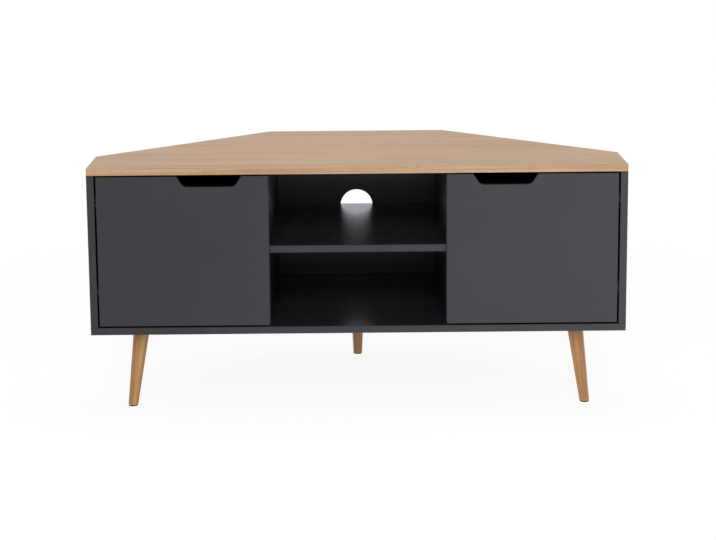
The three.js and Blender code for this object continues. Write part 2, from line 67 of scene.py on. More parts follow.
# Modelling: sides of round pieces, how near counts as one point or one plane, and the share of a normal
# from which a face counts as level, or as square to an axis
ROUND_SIDES = 72
FINE_SIDES = 96
BOSS_SIDES = 64
DISC_SIDES = 48
SMALL_SIDES = 32
BOLT_SIDES = 24
MERGE_WITHIN = 0.005 * MM
SLIVER = 0.01 * MM
FLAT_WITHIN = math.radians(1)
LEVEL_FACE = 0.9
SQUARE_FACE = 0.85

# Degrees between two faces from which their edge counts as sharp
SHARP_TURNED = 40
SHARP_EASED = 50
SHARP_BOARD = 30
SHARP_PRESSED = 45

# Boards and doors
BOARD_ARRIS = 0.5 * MM
TOP_ARRIS = 0.9 * MM
DOOR_ARRIS = 0.8 * MM
HOLE_RADIUS = 36.5 * MM
HOLE_BELOW_SHELF_TOP = 4 * MM
HOLE_ARRIS = 0.8 * MM
CUP_BORE_RADIUS = 17.5 * MM
CUP_BORE_DEPTH = 12.2 * MM
FINGER_TOP = 132 * MM
FINGER_FLOOR = 104 * MM
FINGER_DEPTH = 21.7 * MM
FINGER_ROUND = 13 * MM
FINGER_FROM_MIDDLE = 55 * MM

# Legs
LEG_LEAN = math.radians(7.7)
LEG_HEADINGS = {"front_left": math.pi, "front_right": 0.0, "rear": math.pi / 2}
LEG_TOP_RADIUS = 16.8 * MM
LEG_FOOT_RADIUS = 10 * MM
LEG_START = 7 * MM
LEG_RIM_DEPTH = 1.3 * MM
LEG_TAPER_STEPS = 8
LEG_FOOT_RIM = 0.7 * MM
# How far above the pad a leg's foot end is painted lighter, and over what height it fades: unfinished end wood, with
# a painted highlight on the rounded foot rim
LEG_BARE_AND_HIGHLIGHT_END = 0.6 * MM
LEG_BARE_AND_HIGHLIGHT_FADE = 1.2 * MM
PAD_THICKNESS = 3 * MM
LEG_PLATE_CORNER = 7 * MM
LEG_PLATE_THICKNESS = 2.5 * MM
LEG_PLATE_ARRIS = 0.35 * MM
LEG_BOSS_RADIUS = 14 * MM
LEG_SCREW_FROM_MIDDLE = 21 * MM

# Fasteners
CAM_RADIUS = 7.5 * MM
CAM_DEPTH = 12 * MM
CAM_FROM_END = 24 * MM
CAM_CHAMFER_DEPTH = 0.3 * MM
CAM_CHAMFER_WIDTH = 0.4 * MM
CAM_BOLT_RADIUS = 3 * MM
CAM_BOLT_BITE = 11 * MM
PEG_RADIUS = 2.5 * MM
PEG_LUG_ARRIS = 0.5 * MM
FIT = 0.3 * MM

# Cross recesses: how far an arm reaches from the middle, half its width, and its depth
CAM_CROSS = (4.65 * MM, 0.8 * MM, 1.8 * MM)
SCREW_CROSS = (2.23 * MM, 0.4 * MM, 0.9 * MM)

# Turned outlines in millimetres: the distance along the axis, and the radius there
SCREW_OUTLINE = ((-1.7, 2.0), (-1.62, 2.5), (-1.3, 3.05), (-0.7, 3.5), (0, 3.6), (0, 1.7), (8, 1.7), (11, 0.3))
BUMPER_OUTLINE = ((0, 4), (1.1, 4), (1.6, 3.7), (1.95, 3.1), (2.13, 2.2), (2.2, 1.1))
GLIDE_OUTLINE = ((0, 9.0), (0.25, 9.5), (0.8, 9.8), (2.4, 9.8), (3.0, 9.4))

# A leg's rounded top rim in millimetres: the distance below its start, and how far inside the top radius
LEG_RIM = ((0, 1.2), (0.12, 0.75), (0.4, 0.32), (0.8, 0.08))

# Concealed hinge, measured from the side board's inner face and from the front plane
CUP_CENTRE = 24.5 * MM
CUP_RADIUS = 17.2 * MM
CUP_SHEET = 0.6 * MM
CUP_CORNER = 1.2 * MM
CUP_HOLLOW_CORNER = 1.4 * MM
CUP_HOLLOW_NARROWING = 2 * MM
CUP_CORNER_MIDDLE = 0.35 * MM
CUP_ARRIS = 0.15 * MM
FLANGE_RADIUS = 19.2 * MM
FLANGE_SHEET = 1 * MM
WING_RADIUS = 5.6 * MM
WING_SCREW_OFFSET = 9.5 * MM
WING_SCREW_FROM_MIDDLE = 24 * MM
NOTCH_HALF_HEIGHT = 7.4 * MM
NOTCH_FROM_CENTRE = 3 * MM
NOTCH_BITE = 0.5 * MM
CHEEK_SPAN = (24.2 * MM, 38.4 * MM)
CHEEK_HEIGHT = 8 * MM
CHEEK_SHEET = 1.3 * MM
CHEEK_ROUND = 2.4 * MM
OUTER_CUP_PIN = (29.2 * MM, 6.28 * MM)
INNER_CUP_PIN = (33.78 * MM, 6.4 * MM)
OUTER_PIN_RADIUS = 1.25 * MM
INNER_PIN_RADIUS = 1.1 * MM
PIN_START = 1 * MM
PRESSED_ARRIS = 0.18 * MM

# Oak: how often the figure, hue, lines, fibres and pores repeat in a metre, along and across the grain,
# then the span of each noise's values that counts, and how strongly it shows
FIGURE = (1.3, 17)
HUE = (2.2, 9)
LINES = (3.1, 170)
FIBRES = (16, 1250)
PORES = (70, 2900)
MIDDLE_VALUES = (0.3, 0.7)
FIGURE_VALUES = (0.32, 0.68)
HUE_VALUES = (0.35, 0.7)
LINE_VALUES = (0.42, 0.66)
LINE_GLOSS_VALUES = (0.3, 0.75)
PORE_VALUES = (0.56, 0.68)
FIGURE_SHARE = 0.75
HUE_SHARE = 0.55
LINE_SHARE = 0.6
FIBRE_LIGHT = (0.93, 1.04)
PORE_SHADE = 0.3
# A leg's foot end painted lighter towards its pale tone: partly unfinished end wood, partly a painted highlight on
# the rounded foot rim
BARE_AND_HIGHLIGHT_SHARE = 0.7
BARE_AND_HIGHLIGHT_LIGHTENING = 1.5

# Oak tones: pale, deep and warm
FACE_OAK = ((0.638, 0.412, 0.197, 1), (0.475, 0.27, 0.11, 1), (0.645, 0.373, 0.17, 1))
BAND_OAK = ((0.635, 0.443, 0.27, 1), (0.395, 0.23, 0.12, 1), (0.612, 0.343, 0.208, 1))
LEG_OAK = ((0.61, 0.37, 0.125, 1), (0.37, 0.168, 0.05, 1), (0.58, 0.25, 0.09, 1))
BAND_TURNS = {"front": 0, "side": 90, "left_diagonal": 45, "right_diagonal": -45}
BOARD_OAK_GLOSS = 0.42
LEG_OAK_GLOSS = 0.4

# Other finishes
LACQUER = (0.0195, 0.0197, 0.0245)
LACQUER_GLOSS = 0.27
NICKEL = (0.78, 0.76, 0.72)
NICKEL_GLOSS = 0.32
ZINC = (0.6, 0.61, 0.63)
ZINC_GLOSS = 0.44
GLIDE_BROWN = (0.02, 0.012, 0.009)
GLIDE_GLOSS = 0.72
BUMPER_CLEAR = (0.75, 0.76, 0.74)
BUMPER_GLOSS = 0.25
BUMPER_CLARITY = 0.6
WOOD_IOR = 1.5
PLASTIC_IOR = 1.48

# Room and lamps. Glows are multiples of plain white, the fade and the card's span are in metres, and the
# backdrop's top and side are the parts of a direction between which it ends
WHITE = (1, 1, 1, 1)
SKY = 0.28
FLOOR_SIZE = 60
FLOOR_MATT = (0.9, 0.9, 0.9, 1)
FLOOR_SHARE = 0.15
FLOOR_GLOW = 1.06
FLOOR_LIFT = 0.34
FLOOR_FADE = (0.9, 2.2)
BACKDROP_TOP = (0.225, 0.31)
BACKDROP_SIDE = (-0.2, 0.2)
BACKDROP_GLOW = 1.55
CARD_SPAN = (-0.5, 0.7)
CARD_GLOW = (0.92, 1.64)
MIRRORED_WHITE = (0.98, 0.985, 1.07, 1)
LAMPS_AIM_AT = (0, 0, 0.35)

# Camera: the photo's own place, tilted down, since its large lens shift would empty the other views
PHOTO_WIDTH = 716
FOCAL_PIXELS = 1918
SENSOR_WIDTH = 36
CAMERA_PLACE = (-16.94 * MM, -4091.7 * MM, 1140.1 * MM)
CAMERA_PITCH = 0.177
CAMERA_ROLL = 0.0079
CAMERA_YAW = -0.0061
CAMERA_SHIFT = -0.1

top_low, top_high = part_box("top_panel")
base_low, base_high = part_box("bottom_panel")
side_low, side_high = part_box("right_side_panel")
_, divider_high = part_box("right_divider")
bay_back_low, bay_back_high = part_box("centre_back_panel")
_, shelf_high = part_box("centre_shelf")
_, door_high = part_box("right_door")
board = base_high.z - base_low.z
front = top_low.y
half_width = top_high.x
rear_half = divider_high.x
inner_half = side_low.x
side_end = top_high.y - (half_width - rear_half)
mitre = board * math.tan(math.pi / 8)


# Modelling helpers


def lay_down_all():
    bpy.ops.object.select_all(action="DESELECT")


def take(piece):
    lay_down_all()
    piece.select_set(True)
    bpy.context.view_layer.objects.active = piece


def settle(piece):
    """Puts the piece's place, turn and size in its mesh."""
    take(piece)
    bpy.ops.object.transform_apply(location=True, rotation=True, scale=True)
    return piece


def named(name):
    piece = bpy.context.object
    piece.name = name
    piece.data.name = name
    return settle(piece)


def aim(way):
    """The turn that points a piece's Z along the way."""
    return Vector(way).to_track_quat("Z", "Y").to_euler()


def in_metres(outline):
    return [(along * MM, radius * MM) for along, radius in outline]


def block(name, low, high):
    lay_down_all()
    low, high = Vector(low), Vector(high)
    bpy.ops.mesh.primitive_cube_add(size=1, location=(low + high) / 2, scale=high - low)
    return named(name)


def between(name, one, other):
    """A block between two opposite corners given in any order."""
    return block(name, [min(pair) for pair in zip(one, other)], [max(pair) for pair in zip(one, other)])


def rod(name, start, end, radius, sides=ROUND_SIDES):
    lay_down_all()
    start, end = Vector(start), Vector(end)
    along = end - start
    bpy.ops.mesh.primitive_cylinder_add(
        vertices=sides, radius=radius, depth=along.length, location=(start + end) / 2, rotation=aim(along)
    )
    return named(name)


def turned(name, start, way, steps, sides=ROUND_SIDES):
    """A shape turned on an axis: each step is a distance from the start along the way, and a radius there."""
    lay_down_all()
    bpy.ops.mesh.primitive_circle_add(vertices=sides, radius=steps[0][1], fill_type="NGON", location=(0, 0, 0))
    piece = bpy.context.object
    bpy.ops.object.mode_set(mode="EDIT")
    bpy.ops.mesh.select_all(action="SELECT")
    bpy.ops.transform.translate(value=(0, 0, steps[0][0]))
    for (here, radius), (there, next_radius) in zip(steps, steps[1:]):
        share = next_radius / radius
        bpy.ops.mesh.extrude_region_move()
        bpy.ops.transform.translate(value=(0, 0, there - here))
        bpy.ops.transform.resize(value=(share, share, 1))
    bpy.ops.mesh.select_all(action="SELECT")
    bpy.ops.mesh.normals_make_consistent(inside=False)
    put_down(piece)
    piece.rotation_euler = aim(way)
    piece.location = start
    return shade(named(name))


def pick(piece, kind, test):
    """Opens the piece in edit mode with the faces or edges that pass the test selected."""
    take(piece)
    bpy.ops.object.mode_set(mode="EDIT")
    bpy.ops.mesh.select_mode(type=kind)
    bpy.ops.mesh.select_all(action="DESELECT")
    bpy.ops.object.mode_set(mode="OBJECT")
    mesh = piece.data
    if kind == "FACE":
        for face in mesh.polygons:
            face.select = test(face.center, face.normal)
    else:
        for edge in mesh.edges:
            edge.select = test(*(mesh.vertices[index].co for index in edge.vertices))
    bpy.ops.object.mode_set(mode="EDIT")


def put_down(piece):
    """Leaves edit mode."""
    bpy.ops.object.mode_set(mode="OBJECT")
    return piece


def round_edges(piece, test, reach, segments):
    """Rounds the edges that pass the test, with the rounding ending at this reach from each."""
    pick(piece, "EDGE", test)
    bpy.ops.mesh.bevel(offset=reach, offset_type="OFFSET", segments=segments)
    return put_down(piece)


def saw(piece, place, outward):
    """Takes off what lies outward of a plane and closes the cut."""
    take(piece)
    bpy.ops.object.mode_set(mode="EDIT")
    bpy.ops.mesh.select_all(action="SELECT")
    bpy.ops.mesh.bisect(plane_co=place, plane_no=outward, use_fill=True, clear_outer=True)
    return put_down(piece)


def machine(piece, kind, **settings):
    """Adds a modifier with these settings and applies it."""
    change = piece.modifiers.new(kind.lower(), kind)
    for name, value in settings.items():
        setattr(change, name, value)
    take(piece)
    bpy.ops.object.modifier_apply(modifier=change.name)
    return piece


def cut(piece, tool, operation="DIFFERENCE"):
    machine(piece, "BOOLEAN", operation=operation, object=tool, solver="EXACT")
    bpy.data.objects.remove(tool)
    return piece


def weld(piece, tool):
    return cut(piece, tool, "UNION")


def gather(piece, parts):
    """Makes the parts one piece with it."""
    take(piece)
    for part in parts:
        part.select_set(True)
    bpy.ops.object.join()
    return piece


def shade(piece, sharper_than=SHARP_TURNED):
    take(piece)
    bpy.ops.object.shade_smooth_by_angle(angle=math.radians(sharper_than))
    return piece


def clean(piece):
    """Merges doubled points and turns every face outward."""
    take(piece)
    bpy.ops.object.mode_set(mode="EDIT")
    bpy.ops.mesh.select_all(action="SELECT")
    bpy.ops.mesh.remove_doubles(threshold=MERGE_WITHIN)
    bpy.ops.mesh.normals_make_consistent(inside=False)
    return put_down(piece)


def flatten(piece):
    """Makes the faces that lie in one plane one face, without points on straight edges."""
    pick(piece, "FACE", lambda centre, normal: True)
    bpy.ops.mesh.dissolve_limited(angle_limit=FLAT_WITHIN)
    return put_down(piece)


def ease(piece, width, segments=2, sharper_than=SHARP_BOARD):
    """Rounds the edges sharper than an angle, with flat faces left flat."""
    machine(
        clean(piece),
        "BEVEL",
        width=width,
        segments=segments,
        limit_method="ANGLE",
        angle_limit=math.radians(sharper_than),
    )
    shade(clean(piece), SHARP_EASED)
    return machine(piece, "WEIGHTED_NORMAL", keep_sharp=True)


def copied(piece, name, lift, mirrored):
    """A copy at the lift's height, mirrored to the left-hand side if asked."""
    take(piece)
    bpy.ops.object.duplicate()
    twin = bpy.context.object
    twin.location.z = lift
    twin.scale.x = -1 if mirrored else 1
    return clean(named(name))


def pressed(name, node_name):
    """A merged copy of a CAD pressing with its sheared edges eased."""
    take(frame["nodes"][node_name])
    bpy.ops.object.duplicate()
    bpy.ops.object.parent_clear(type="CLEAR_KEEP_TRANSFORM")
    return ease(flatten(clean(named(name))), PRESSED_ARRIS, sharper_than=SHARP_PRESSED)


def fit(piece, stands_for, finish, body="cabinet"):
    """Gives the piece its finish and its place in the cabinet, and hides the CAD node that it stands for."""
    piece.data.materials.clear()
    piece.data.materials.append(finish)
    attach(piece, body)
    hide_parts(stands_for)
    return piece


# Finishes


def node(tree, kind, sockets, **settings):
    made = tree.nodes.new("ShaderNode" + kind)
    for name, value in settings.items():
        setattr(made, name, value)
    for name, value in sockets.items():
        if isinstance(value, bpy.types.NodeSocket):
            tree.links.new(value, made.inputs[name])
        else:
            made.inputs[name].default_value = value
    return made


def new_finish(name, gloss, **sockets):
    """A material with its node tree and its shader. The gloss is the shader's roughness."""
    finish = bpy.data.materials.new(name)
    finish.use_nodes = True
    tree = finish.node_tree
    surface = tree.nodes["Principled BSDF"]
    surface.inputs["Roughness"].default_value = gloss
    for socket, value in sockets.items():
        surface.inputs[socket.replace("_", " ")].default_value = value
    return finish, tree, surface


def piece_place(tree):
    return node(tree, "TexCoord", {}).outputs["Object"]


def grain_place(tree, place, repeats, fine=1.0):
    """The place stretched along X, for noise that repeats so often along and across the grain."""
    along, across = repeats
    return node(tree, "Mapping", {"Vector": place, "Scale": (along, across * fine, across * fine)}).outputs["Vector"]


def noise(tree, place, scale=1.0, detail=2.0, roughness=0.5, distortion=0.0):
    sockets = {"Vector": place, "Scale": scale, "Detail": detail, "Roughness": roughness, "Distortion": distortion}
    return node(tree, "TexNoise", sockets).outputs["Fac"]


def spread(tree, value, low, high, to_low=0.0, to_high=1.0):
    sockets = {"Value": value, "From Min": low, "From Max": high, "To Min": to_low, "To Max": to_high}
    return node(tree, "MapRange", sockets).outputs["Result"]


def blend_colours(tree, share, first, second, how="MIX"):
    made = node(tree, "Mix", {}, data_type="RGBA", blend_type=how)
    for name, value in (("Factor", share), ("A", first), ("B", second)):
        socket = next(s for s in made.inputs if s.name == name and s.enabled)
        if isinstance(value, bpy.types.NodeSocket):
            tree.links.new(value, socket)
        else:
            socket.default_value = value
    return next(s for s in made.outputs if s.enabled)


def relief(tree, surface, height, distance, strength):
    bump = node(tree, "Bump", {"Height": height, "Distance": distance, "Strength": strength})
    tree.links.new(bump.outputs["Normal"], surface.inputs["Normal"])


def tint(tone, share):
    return [min(value * share, 1) for value in tone[:3]] + [1]


def clouded(tree, surface, clouds, tone, dull, bright):
    """Colours the surface with the tone, from its dull to its bright share in soft clouds."""
    share = spread(tree, clouds, *MIDDLE_VALUES)
    colour = blend_colours(tree, share, tint(tone, dull), tint(tone, bright))
    tree.links.new(colour, surface.inputs["Base Color"])


def drifting_gloss(tree, surface, pattern, gloss, smoother, rougher, values=MIDDLE_VALUES):
    """Lets the roughness drift about the gloss with the pattern, over the given span of its values."""
    roughness = spread(tree, pattern, *values, gloss - smoother, gloss + rougher)
    tree.links.new(roughness, surface.inputs["Roughness"])


def oak(name, tones, gloss, contrast, centre=(0, 0, 0), turn=(0, 0, 0), fine=1.0, pits=1.0, bare_and_highlight_from=None):
    """Oak with its grain along the local X of the given turn: broad figure, grain lines, fibres and pores.

    A larger fine narrows the figure for slender pieces. The last argument is the height of a foot's end, below which
    the oak is painted lighter: unfinished end wood, with a painted highlight where the rounded foot rim catches the
    light.
    """
    pale, deep, warm = tones
    finish, tree, surface = new_finish(name, gloss, IOR=WOOD_IOR)
    place = node(
        tree,
        "Mapping",
        {"Vector": piece_place(tree), "Location": centre, "Rotation": turn},
        vector_type="TEXTURE",
    ).outputs["Vector"]
    figure = noise(tree, grain_place(tree, place, FIGURE, fine), detail=4, roughness=0.55, distortion=0.5)
    lines = noise(tree, grain_place(tree, place, LINES), detail=5, roughness=0.62, distortion=0.15)
    fibres = noise(tree, grain_place(tree, place, FIBRES), detail=3, roughness=0.6)
    pores = noise(tree, grain_place(tree, place, PORES), detail=1, roughness=0.5)
    hue = noise(tree, grain_place(tree, place, HUE, fine), detail=2)
    tone = blend_colours(tree, spread(tree, figure, *FIGURE_VALUES, 0, FIGURE_SHARE * contrast), pale, deep)
    tone = blend_colours(tree, spread(tree, hue, *HUE_VALUES, 0, HUE_SHARE), tone, warm)
    tone = blend_colours(tree, spread(tree, lines, *LINE_VALUES, 0, LINE_SHARE * contrast), tone, deep)
    tone = blend_colours(tree, 1.0, tone, spread(tree, fibres, *MIDDLE_VALUES, *FIBRE_LIGHT), "MULTIPLY")
    pores = spread(tree, pores, *PORE_VALUES, 1.0, 1.0 - PORE_SHADE * pits)
    tone = blend_colours(tree, 1.0, tone, pores, "MULTIPLY")
    # Painted highlight: the foot's end is lightened towards a brighter pale tone, partly for unfinished end wood and
    # partly for light caught on the rounded foot rim
    if bare_and_highlight_from is not None:
        height = node(tree, "SeparateXYZ", {"Vector": piece_place(tree)}).outputs["Z"]
        bare_and_highlight = spread(tree, height, bare_and_highlight_from, bare_and_highlight_from + LEG_BARE_AND_HIGHLIGHT_FADE, BARE_AND_HIGHLIGHT_SHARE, 0)
        tone = blend_colours(tree, bare_and_highlight, tone, tint(pale, BARE_AND_HIGHLIGHT_LIGHTENING))
    tree.links.new(tone, surface.inputs["Base Color"])
    drifting_gloss(tree, surface, lines, gloss, smoother=0.05, rougher=0.08, values=LINE_GLOSS_VALUES)
    relief(tree, surface, pores, distance=0.08 * MM, strength=0.6)
    return finish


def satin_lacquer(name, tone, gloss):
    """Dark satin board finish: faint clouding, a fine skin texture and a gloss that drifts a little."""
    finish, tree, surface = new_finish(name, gloss, IOR=WOOD_IOR)
    place = piece_place(tree)
    clouds = noise(tree, place, scale=7, detail=3, roughness=0.55)
    skin = noise(tree, place, scale=1400, roughness=0.6)
    dust = noise(tree, place, scale=900)
    clouded(tree, surface, clouds, tone, dull=0.93, bright=1.07)
    drifting_gloss(tree, surface, dust, gloss, smoother=0.02, rougher=0.02)
    relief(tree, surface, skin, distance=0.02 * MM, strength=0.05)
    return finish


def plated_steel(name, tone, gloss):
    """Plated pressed steel: a fine satin grain and slight clouding of the plating."""
    finish, tree, surface = new_finish(name, gloss, Metallic=1.0)
    place = piece_place(tree)
    clouds = noise(tree, place, scale=60, detail=3, roughness=0.6)
    grain = noise(tree, place, scale=2400, detail=3, roughness=0.6)
    clouded(tree, surface, clouds, tone, dull=0.88, bright=1.06)
    drifting_gloss(tree, surface, grain, gloss, smoother=0.06, rougher=0.1)
    relief(tree, surface, grain, distance=0.01 * MM, strength=0.08)
    return finish


def moulded_plastic(name, tone, gloss, see_through=0.0):
    """Moulded plastic with a fine spark texture."""
    finish, tree, surface = new_finish(name, gloss, IOR=PLASTIC_IOR, Transmission_Weight=see_through)
    place = piece_place(tree)
    clouds = noise(tree, place, scale=180)
    spark = noise(tree, place, scale=2600, roughness=0.6)
    clouded(tree, surface, clouds, tone, dull=0.85, bright=1.1)
    drifting_gloss(tree, surface, spark, gloss, smoother=0.05, rougher=0.08)
    relief(tree, surface, spark, distance=0.04 * MM, strength=0.5)
    return finish


def banding(way, degrees):
    """The top board's edge band on one of its faces, with its grain along that face."""
    turn = (0, 0, math.radians(degrees))
    return oak(f"pale_oak_band_{way}", BAND_OAK, BOARD_OAK_GLOSS, contrast=1.35, turn=turn, fine=6)


oak_face = oak("pale_oak_face", FACE_OAK, BOARD_OAK_GLOSS, contrast=0.95, pits=0.8)
oak_band = {way: banding(way, degrees) for way, degrees in BAND_TURNS.items()}
lacquer = satin_lacquer("dark_satin_lacquer", LACQUER, LACQUER_GLOSS)
nickel = plated_steel("nickel_plate", NICKEL, NICKEL_GLOSS)
zinc = plated_steel("zinc_plate", ZINC, ZINC_GLOSS)
glide_plastic = moulded_plastic("dark_brown_glide", GLIDE_BROWN, GLIDE_GLOSS)
clear_plastic = moulded_plastic("clear_bumper", BUMPER_CLEAR, BUMPER_GLOSS, BUMPER_CLARITY)


# Body boards

hexagon_sawing = [((side * half_width, side_end, 0), (side, 1, 0)) for side in SIDES.values()]


def board_piece(name, stands_for, sawing=(), bores=(), arris=BOARD_ARRIS):
    piece = block(name, *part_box(stands_for))
    for place, outward in sawing:
        saw(piece, place, outward)
    for bore in bores:
        cut(piece, bore)
    return fit(ease(piece, arris), stands_for, lacquer)


def cam_places(upright):
    """Where an upright board's two cam locks show: the level, the middle of the face and the way into the board."""
    low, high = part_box(upright)
    side = 1 if low.x > 0 else -1
    if "side_panel" in upright:
        way = side
        back = front + (side_high.y - mitre - front) / 2
    else:
        way = -side
        back = (low.y + high.y) / 2
    face = low.x if way > 0 else high.x
    return [
        ("lower", Vector((face, back, low.z + CAM_FROM_END)), way),
        ("upper", Vector((face, back, high.z - CAM_FROM_END)), way),
    ]


def cam_bores(upright):
    bores = []
    for _, place, way in cam_places(upright):
        start = place - Vector((way * board, 0, 0))
        end = place + Vector((way * (CAM_DEPTH + FIT), 0, 0))
        bores.append(rod("cam_bore", start, end, CAM_RADIUS + FIT))
    return bores


def top_board():
    """The oak top, with its face on the flat sides and the matching band on each edge."""
    piece = block("oak_top_board", top_low, top_high)
    for place, outward in hexagon_sawing:
        saw(piece, place, outward)
    fit(ease(piece, TOP_ARRIS, segments=3), "top_panel", oak_face)
    slots = {"face": 0}
    for way, finish in oak_band.items():
        slots[way] = len(piece.data.materials)
        piece.data.materials.append(finish)
    for face in piece.data.polygons:
        x, y, z = face.normal
        if abs(z) >= LEVEL_FACE:
            way = "face"
        elif abs(y) > SQUARE_FACE * math.hypot(x, y):
            way = "front"
        elif abs(x) > SQUARE_FACE * math.hypot(x, y):
            way = "side"
        else:
            way = "right_diagonal" if x * y > 0 else "left_diagonal"
        face.material_index = slots[way]


def bay_back():
    height = shelf_high.z - HOLE_BELOW_SHELF_TOP
    start, end = bay_back_low.y - board, bay_back_high.y + board
    cable_hole = rod("cable_hole", (0, start, height), (0, end, height), HOLE_RADIUS, FINE_SIDES)
    board_piece("bay_back_board", "centre_back_panel", bores=[cable_hole], arris=HOLE_ARRIS)


def uprights_and_back(name, side):
    """A side board, a divider, and the diagonal back board mitred to the side board."""
    corner = Vector((side * half_width, side_high.y, 0))
    mitre_out = Vector((-side * mitre, board, 0)).normalized()
    panel = f"{name}_side_panel"
    board_piece(f"{name}_side_board", panel, [(corner, mitre_out)], cam_bores(panel))
    divider = f"{name}_divider"
    board_piece(f"{name}_divider_board", divider, bores=cam_bores(divider))
    inner_face = corner - Vector((0, board * math.sqrt(2), 0))
    sawing = [(corner, (side, 1, 0)), (inner_face, (-side, -1, 0)), (corner, -mitre_out)]
    board_piece(f"{name}_back_board", f"{name}_back_panel", sawing)


top_board()
board_piece("base_board", "bottom_panel", hexagon_sawing)
board_piece("bay_shelf_board", "centre_shelf")
bay_back()
for name, side in SIDES.items():
    uprights_and_back(name, side)


# Fasteners


def cross_recess(piece, place, way, cross):
    """Cuts a cross into a head. The way points into it along X or Z."""
    reach, width, depth = cross
    place, way = Vector(place), Vector(way)
    across = [Vector((0, 1, 0)), Vector((1, 0, 0)) if way.x == 0 else Vector((0, 0, 1))]
    for long, short in (across, reversed(across)):
        half = long * reach + short * width
        cut(piece, between("recess", place - half - way * depth, place + half + way * depth))
    return piece


def pan_head_screw():
    """A screw with its head's underside at the origin and its tip upward."""
    outline = in_metres(SCREW_OUTLINE)
    piece = turned("pan_head_screw", (0, 0, 0), (0, 0, 1), outline, SMALL_SIDES)
    return shade(cross_recess(piece, (0, 0, outline[0][0]), (0, 0, 1), SCREW_CROSS))


def driven_screw(place, way):
    """A screw driven along the way, with its head's underside at the place."""
    take(screw)
    bpy.ops.object.duplicate()
    twin = bpy.context.object
    twin.rotation_euler = aim(way)
    twin.location = place
    return named("driven_screw")


def cam_lock(upright, level, place, way):
    """A cam in the upright's face with the bolt that it draws, which is screwed into the board beyond."""
    into = Vector((way, 0, 0))
    rings = [(0, CAM_RADIUS - CAM_CHAMFER_WIDTH), (CAM_CHAMFER_DEPTH, CAM_RADIUS), (CAM_DEPTH, CAM_RADIUS)]
    piece = turned("cam", place, into, rings, DISC_SIDES)
    shade(cross_recess(piece, place, into, CAM_CROSS))
    low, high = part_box(upright)
    middle = (low.x + high.x) / 2
    tip = low.z - CAM_BOLT_BITE if level == "lower" else high.z + CAM_BOLT_BITE
    bolt = rod("cam_bolt", (middle, place.y, place.z), (middle, place.y, tip), CAM_BOLT_RADIUS, BOLT_SIDES)
    lock = upright.replace("_panel", "")
    piece = gather(piece, [shade(bolt)])
    piece.name = piece.data.name = f"{lock}_{level}_cam"
    return fit(piece, f"{lock}_{level}_cam_lock", zinc)


def shelf_pin(name, side, row):
    """A lug that the shelf rests on, with its peg in the divider."""
    node_name = f"{name}_{row}_shelf_pin"
    low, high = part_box(node_name)
    wall = side * (rear_half - board)
    peg_end = low.x if side < 0 else high.x
    lug_tip = high.x if side < 0 else low.x
    piece = between(f"{name}_{row}_shelf_peg", (wall, low.y, low.z), (lug_tip, high.y, high.z))
    ease(piece, PEG_LUG_ARRIS, segments=3)
    middle = (low + high) / 2
    peg_start = (lug_tip + side * MM, middle.y, middle.z)
    peg = rod("peg", peg_start, (peg_end, middle.y, middle.z), PEG_RADIUS, SMALL_SIDES)
    return fit(gather(piece, [shade(peg)]), node_name, nickel)


screw = pan_head_screw()
for name in SIDES:
    for upright in (f"{name}_side_panel", f"{name}_divider"):
        for level, place, way in cam_places(upright):
            cam_lock(upright, level, place, way)
for name, side in SIDES.items():
    for row in ("front", "rear"):
        shelf_pin(name, side, row)


# Doors


def finger_cutter(middle, door_top, low_y, high_y):
    """A tapered block with rounded lower corners that cuts the finger hold from the door's top edge."""
    floor = door_top - FINGER_DEPTH
    rise = FINGER_DEPTH * 2
    half = FINGER_FLOOR / 2
    tool = block("finger_cutter", (middle - half, low_y, floor), (middle + half, high_y, floor + rise))
    pick(tool, "FACE", lambda centre, normal: normal.z > LEVEL_FACE)
    slope = (FINGER_TOP - FINGER_FLOOR) / 2 / FINGER_DEPTH
    bpy.ops.transform.resize(value=((half + slope * rise) / half, 1, 1))
    put_down(tool)
    turn = math.pi / 2 - math.atan(slope)
    reach = FINGER_ROUND * math.tan(turn / 2)
    return round_edges(tool, lambda a, b: max(a.z, b.z) < floor + MM and abs(a.x - b.x) < MM, reach, segments=16)


def cup_place(name, side, level):
    low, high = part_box(f"{name}_{level}_hinge_cup")
    return Vector((side * (inner_half - CUP_CENTRE), door_high.y, (low.z + high.z) / 2))


def door(name, side):
    """A door with its finger hold and the bores of its two hinge cups."""
    low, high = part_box(f"{name}_door")
    piece = block(f"{name}_door_leaf", low, high)
    middle = (low.x + high.x) / 2 - side * FINGER_FROM_MIDDLE
    cut(piece, finger_cutter(middle, high.z, low.y - board, high.y + board))
    for level in LEVELS:
        place = cup_place(name, side, level)
        floor, mouth = place - Vector((0, CUP_BORE_DEPTH, 0)), place + Vector((0, board, 0))
        cut(piece, rod("cup_bore", floor, mouth, CUP_BORE_RADIUS))
    return fit(ease(piece, DOOR_ARRIS, segments=3), f"{name}_door", lacquer, f"{name}_door")


def bumper(name, level):
    node_name = f"{name}_door_{level}_bumper"
    low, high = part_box(node_name)
    middle = (low + high) / 2
    start = (middle.x, low.y, middle.z)
    piece = turned(f"{name}_{level}_bumper", start, (0, 1, 0), in_metres(BUMPER_OUTLINE), DISC_SIDES)
    return fit(piece, node_name, clear_plastic, f"{name}_door")


for name, side in SIDES.items():
    door(name, side)
    for level in LEVELS:
        bumper(name, level)


# Concealed hinges


